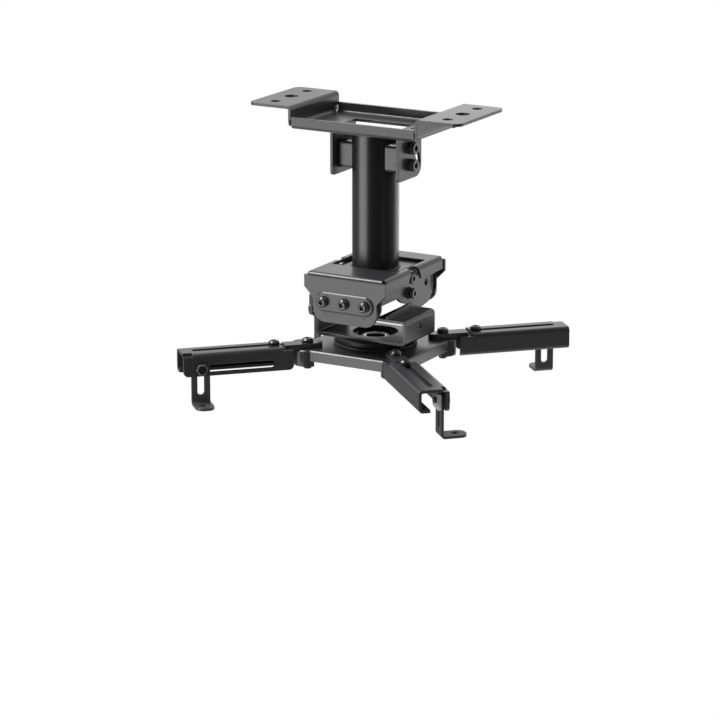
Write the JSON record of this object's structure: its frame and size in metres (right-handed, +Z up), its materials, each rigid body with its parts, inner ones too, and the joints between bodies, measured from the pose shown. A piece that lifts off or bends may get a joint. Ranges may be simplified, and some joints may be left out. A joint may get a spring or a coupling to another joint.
{
  "type": "projector ceiling mount",
  "caption": "Black steel ceiling mount: bolted bracket, tilting round post, roll and pitch head, swivelling hub with slotted arms that swing, slide and carry drop feet.",
  "frame": {"origin": "centre of the ceiling screw pattern, on the post axis in the ceiling plane", "axes": "+Z up towards the ceiling, X along the bracket from ear to ear, -Y the front"},
  "size_m": [0.2588, 0.2588, 0.2346],
  "materials": {
    "black_coat": "satin black powder coat on folded steel sheet",
    "post_coat": "smooth semi-gloss black coat on drawn tube",
    "black_fastener": "black oxide finish on steel fasteners",
    "zinc_plate": "bright zinc plate on steel",
    "swivel_plastic": "matte black bearing plastic",
    "swivel_steel": "turned steel, lightly worn"
  },
  "bodies": {
    "bracket": {"ceiling_bracket": "black_coat"},
    "post": {"post_tube": "post_coat", "post_blocks": "post_coat", "tilt_pivot_screws": "black_fastener", "tilt_lock_screws": "black_fastener", "post_foot_plate": "black_coat", "upper_yoke": "black_coat", "roll_pivot_screws": "black_fastener", "roll_lock_screws": "black_fastener", "roll_nuts": "black_fastener"},
    "cradle": {"roll_cradle": "black_coat"},
    "tray": {"swivel_tray": "black_coat", "pitch_pivot_screws": "black_fastener", "pitch_lock_screws": "black_fastener", "pitch_washers": "black_fastener", "swivel_disc": "swivel_plastic"},
    "hub": {"hub": "black_coat", "swivel_ring": "swivel_plastic", "swivel_boss": "swivel_steel", "arm_pivot_bolts": "black_fastener", "arm_pivot_nuts": "black_fastener"},
    "link_front": {"link_front": "black_coat", "clamp_bolt_front": "black_fastener", "clamp_nut_front": "black_fastener"},
    "arm_front": {"arm_front": "black_coat"},
    "carriage_front": {"foot_bolt_front": "black_fastener", "foot_clamp_plate_front": "zinc_plate"},
    "foot_front": {"foot_front": "black_coat"},
    "link_right": {"link_right": "black_coat", "clamp_bolt_right": "black_fastener", "clamp_nut_right": "black_fastener"},
    "arm_right": {"arm_right": "black_coat"},
    "carriage_right": {"foot_bolt_right": "black_fastener", "foot_clamp_plate_right": "zinc_plate"},
    "foot_right": {"foot_right": "black_coat"},
    "link_back": {"link_back": "black_coat", "clamp_bolt_back": "black_fastener", "clamp_nut_back": "black_fastener"},
    "arm_back": {"arm_back": "black_coat"},
    "carriage_back": {"foot_bolt_back": "black_fastener", "foot_clamp_plate_back": "zinc_plate"},
    "foot_back": {"foot_back": "black_coat"},
    "link_left": {"link_left": "black_coat", "clamp_bolt_left": "black_fastener", "clamp_nut_left": "black_fastener"},
    "arm_left": {"arm_left": "black_coat"},
    "carriage_left": {"foot_bolt_left": "black_fastener", "foot_clamp_plate_left": "zinc_plate"},
    "foot_left": {"foot_left": "black_coat"}
  },
  "joints": [
    {"name": "tilt", "type": "hinge", "parent": "bracket", "child": "post", "pos_m": [0, 0, -0.0457], "axis": [-1, 0, 0], "range_deg": [0, 90]},
    {"name": "roll", "type": "hinge", "parent": "post", "child": "cradle", "pos_m": [0, 0, -0.153], "axis": [0, 1, 0], "range_deg": [-3, 3]},
    {"name": "pitch", "type": "hinge", "parent": "cradle", "child": "tray", "pos_m": [0, 0, -0.151], "axis": [1, 0, 0], "range_deg": [-8, 8]},
    {"name": "swivel", "type": "hinge", "parent": "tray", "child": "hub", "pos_m": [0, 0, -0.193], "axis": [0, 0, 1], "continuous": true},
    {"name": "arm_swing_front", "type": "hinge", "parent": "hub", "child": "link_front", "pos_m": [0.04052, -0.04052, -0.1943], "axis": [0, 0, 1], "range_deg": [-40, 40]},
    {"name": "arm_reach_front", "type": "slide", "parent": "link_front", "child": "arm_front", "axis": [0.7071, -0.7071, 0], "range_m": [-0.0025, 0.0004]},
    {"name": "foot_slide_front", "type": "slide", "parent": "arm_front", "child": "carriage_front", "axis": [0.7071, -0.7071, 0], "range_m": [-0.057, 0.0004]},
    {"name": "foot_height_front", "type": "slide", "parent": "carriage_front", "child": "foot_front", "axis": [0, 0, 1], "range_m": [0, 0.003]},
    {"name": "arm_swing_right", "type": "hinge", "parent": "hub", "child": "link_right", "pos_m": [0.04052, 0.04052, -0.1943], "axis": [0, 0, 1], "range_deg": [-40, 40]},
    {"name": "arm_reach_right", "type": "slide", "parent": "link_right", "child": "arm_right", "axis": [0.7071, 0.7071, 0], "range_m": [-0.0025, 0.0004]},
    {"name": "foot_slide_right", "type": "slide", "parent": "arm_right", "child": "carriage_right", "axis": [0.7071, 0.7071, 0], "range_m": [-0.057, 0.0004]},
    {"name": "foot_height_right", "type": "slide", "parent": "carriage_right", "child": "foot_right", "axis": [0, 0, 1], "range_m": [0, 0.003]},
    {"name": "arm_swing_back", "type": "hinge", "parent": "hub", "child": "link_back", "pos_m": [-0.04052, 0.04052, -0.1943], "axis": [0, 0, 1], "range_deg": [-40, 40]},
    {"name": "arm_reach_back", "type": "slide", "parent": "link_back", "child": "arm_back", "axis": [-0.7071, 0.7071, 0], "range_m": [-0.0025, 0.0004]},
    {"name": "foot_slide_back", "type": "slide", "parent": "arm_back", "child": "carriage_back", "axis": [-0.7071, 0.7071, 0], "range_m": [-0.057, 0.0004]},
    {"name": "foot_height_back", "type": "slide", "parent": "carriage_back", "child": "foot_back", "axis": [0, 0, 1], "range_m": [0, 0.003]},
    {"name": "arm_swing_left", "type": "hinge", "parent": "hub", "child": "link_left", "pos_m": [-0.04052, -0.04052, -0.1943], "axis": [0, 0, 1], "range_deg": [-40, 40]},
    {"name": "arm_reach_left", "type": "slide", "parent": "link_left", "child": "arm_left", "axis": [-0.7071, -0.7071, 0], "range_m": [-0.0025, 0.0004]},
    {"name": "foot_slide_left", "type": "slide", "parent": "arm_left", "child": "carriage_left", "axis": [-0.7071, -0.7071, 0], "range_m": [-0.057, 0.0004]},
    {"name": "foot_height_left", "type": "slide", "parent": "carriage_left", "child": "foot_left", "axis": [0, 0, 1], "range_m": [0, 0.003]}
  ]
}
